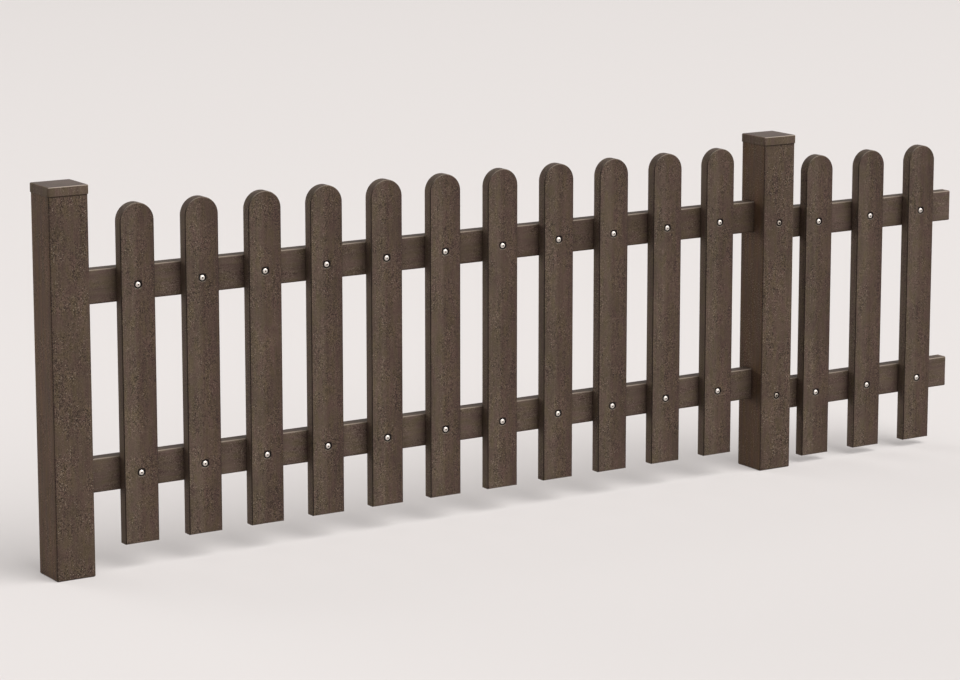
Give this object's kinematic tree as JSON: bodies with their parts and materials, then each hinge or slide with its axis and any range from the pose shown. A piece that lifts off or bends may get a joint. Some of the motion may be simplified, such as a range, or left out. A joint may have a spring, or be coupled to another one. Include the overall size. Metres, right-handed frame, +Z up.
{
  "type": "picket fence panel",
  "caption": "Dark brown recycled-plastic picket fence: round-headed boards screwed to rails let into capped square posts, with the start of a next bay set lower.",
  "frame": {"origin": "centre of the left post's foot, at ground level", "axes": "+X along the fence to the right, +Y from the pickets to the back, +Z up"},
  "size_m": [2.4807, 0.0934, 0.8485],
  "materials": {
    "post_plastic": "moulded recycled plastic, speckled",
    "picket_plastic": "moulded recycled plastic, finely streaked",
    "rail_plastic": "moulded recycled plastic, finely streaked",
    "cap_plastic": "smooth moulded plastic",
    "screw_steel": "satin stainless steel"
  },
  "bodies": {
    "root": {"left_post": "post_plastic", "left_post_cap": "cap_plastic", "lower_rail": "rail_plastic", "next_bay_lower_rail": "rail_plastic", "next_bay_picket_01": "picket_plastic", "next_bay_picket_02": "picket_plastic", "next_bay_picket_03": "picket_plastic", "next_bay_upper_rail": "rail_plastic", "picket_01": "picket_plastic", "picket_02": "picket_plastic", "picket_03": "picket_plastic", "picket_04": "picket_plastic", "picket_05": "picket_plastic", "picket_06": "picket_plastic", "picket_07": "picket_plastic", "picket_08": "picket_plastic", "picket_09": "picket_plastic", "picket_10": "picket_plastic", "picket_11": "picket_plastic", "right_post": "post_plastic", "right_post_cap": "cap_plastic", "upper_rail": "rail_plastic"}
  },
  "joints": []
}
